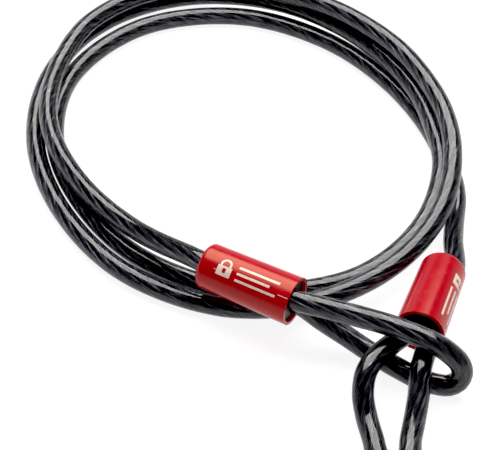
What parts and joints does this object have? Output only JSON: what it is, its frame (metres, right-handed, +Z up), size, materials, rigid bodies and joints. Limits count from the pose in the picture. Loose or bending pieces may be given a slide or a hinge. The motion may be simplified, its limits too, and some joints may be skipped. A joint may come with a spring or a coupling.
{
  "type": "looped security cable",
  "caption": "Coiled steel security cable in a smoke-clear plastic sheath, with an eye at each end held by a crimped ferrule in a moulded red sleeve, for tethering luggage",
  "frame": {"origin": "centre of the footprint, on the surface the coil rests on", "axes": "+X to the right and +Y from the eyes to the far side of the coil, as seen from the eyes' side; +Z up"},
  "size_m": [0.2297, 0.34, 0.0345],
  "materials": {
    "sheath": "smoke-clear glossy PVC",
    "rope": "galvanised wire strands",
    "ferrule": "crimped",
    "sleeve": "glossy moulded",
    "plug": "matte moulded"
  },
  "bodies": {
    "root": {"sheath_turn_1": "sheath", "sheath_turn_2": "sheath", "sheath_turn_3": "sheath", "sheath_eye_a": "sheath", "sheath_eye_b": "sheath", "rope": "rope", "ferrule_a": "ferrule", "ferrule_b": "ferrule", "sleeve_a": "sleeve", "sleeve_b": "sleeve", "mouth_plug_a": "plug", "mouth_plug_b": "plug"}
  },
  "joints": []
}
